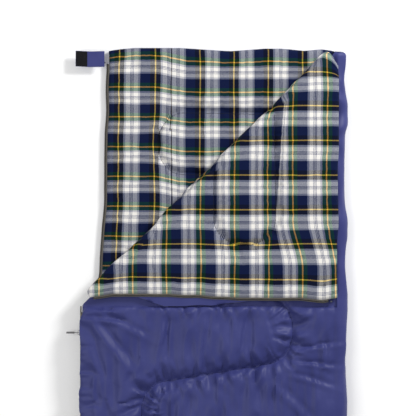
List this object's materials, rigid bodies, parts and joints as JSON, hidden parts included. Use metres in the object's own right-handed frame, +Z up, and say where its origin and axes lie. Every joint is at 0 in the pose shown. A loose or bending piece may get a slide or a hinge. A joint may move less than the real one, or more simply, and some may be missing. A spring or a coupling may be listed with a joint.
{
  "type": "rectangular sleeping bag",
  "caption": "Rectangular quilted sleeping bag lying flat, tartan lining, side zip, head corner folded back, hook-and-loop closure tab.",
  "frame": {"origin": "centre of the underside of the bag, on the surface that it lies on", "axes": "+Y towards the head end along the bag's length, +X towards the folded side away from the zip, +Z up through the bag's thickness"},
  "size_m": [0.8857, 1.898, 0.0804],
  "materials": {
    "shell_satin": "plain polyester with a satin face",
    "lining_tartan": "brushed tartan flannel",
    "filling": "hollow fibre wadding",
    "zip_tape": "woven polyester tape",
    "zip_coil": "nylon coil",
    "zip_metal": "enamelled zinc casting",
    "grip_rubber": "moulded grip",
    "hook_tape": "hook tape",
    "loop_tape": "loop tape"
  },
  "bodies": {
    "root": {"base_batting": "filling", "base_lining_left": "lining_tartan", "base_lining_right": "lining_tartan", "base_shell": "shell_satin", "base_zip_coil_foot": "zip_coil", "base_zip_coil_head": "zip_coil", "base_zip_coil_side": "zip_coil", "base_zip_stop": "zip_metal", "base_zip_tape_foot": "zip_tape", "base_zip_tape_head": "zip_tape", "base_zip_tape_side": "zip_tape", "foot_zip_stop": "zip_metal", "side_batting": "filling", "side_lining": "lining_tartan", "side_shell": "shell_satin", "top_batting": "filling", "top_lining": "lining_tartan", "top_shell": "shell_satin", "top_zip_coil_foot": "zip_coil", "top_zip_coil_side": "zip_coil", "top_zip_tape_foot": "zip_tape", "top_zip_tape_side": "zip_tape"},
    "flap": {"flap_batting": "filling", "flap_lining": "lining_tartan", "flap_loop_patch": "loop_tape", "flap_shell": "shell_satin", "flap_zip_coil": "zip_coil", "flap_zip_stop": "zip_metal", "flap_zip_tape": "zip_tape"},
    "tab": {"tab_hook_patch": "hook_tape", "tab_strap": "shell_satin"},
    "slider": {"slider_body": "zip_metal", "slider_bridge": "zip_metal"},
    "pull": {"pull_frame": "zip_metal", "pull_grip": "grip_rubber"}
  },
  "joints": [
    {"name": "flap_fold", "type": "hinge", "parent": "root", "child": "flap", "pos_m": [0, 0.55, 0.0572], "axis": [-0.7071, -0.7071, 0], "range_deg": [0, 179.5]},
    {"name": "tab_fold", "type": "hinge", "parent": "root", "child": "tab", "pos_m": [-0.344, 0.918, 0.0265], "axis": [0, 1, 0], "range_deg": [0, 179.5]},
    {"name": "slider_run", "type": "slide", "parent": "root", "child": "slider", "axis": [0, 1, 0], "range_m": [-0.93, 0.07]},
    {"name": "pull_swing", "type": "hinge", "parent": "slider", "child": "pull", "pos_m": [-0.4258, 0.046, 0.028], "axis": [0, 0, 1], "range_deg": [-80, 80]}
  ]
}
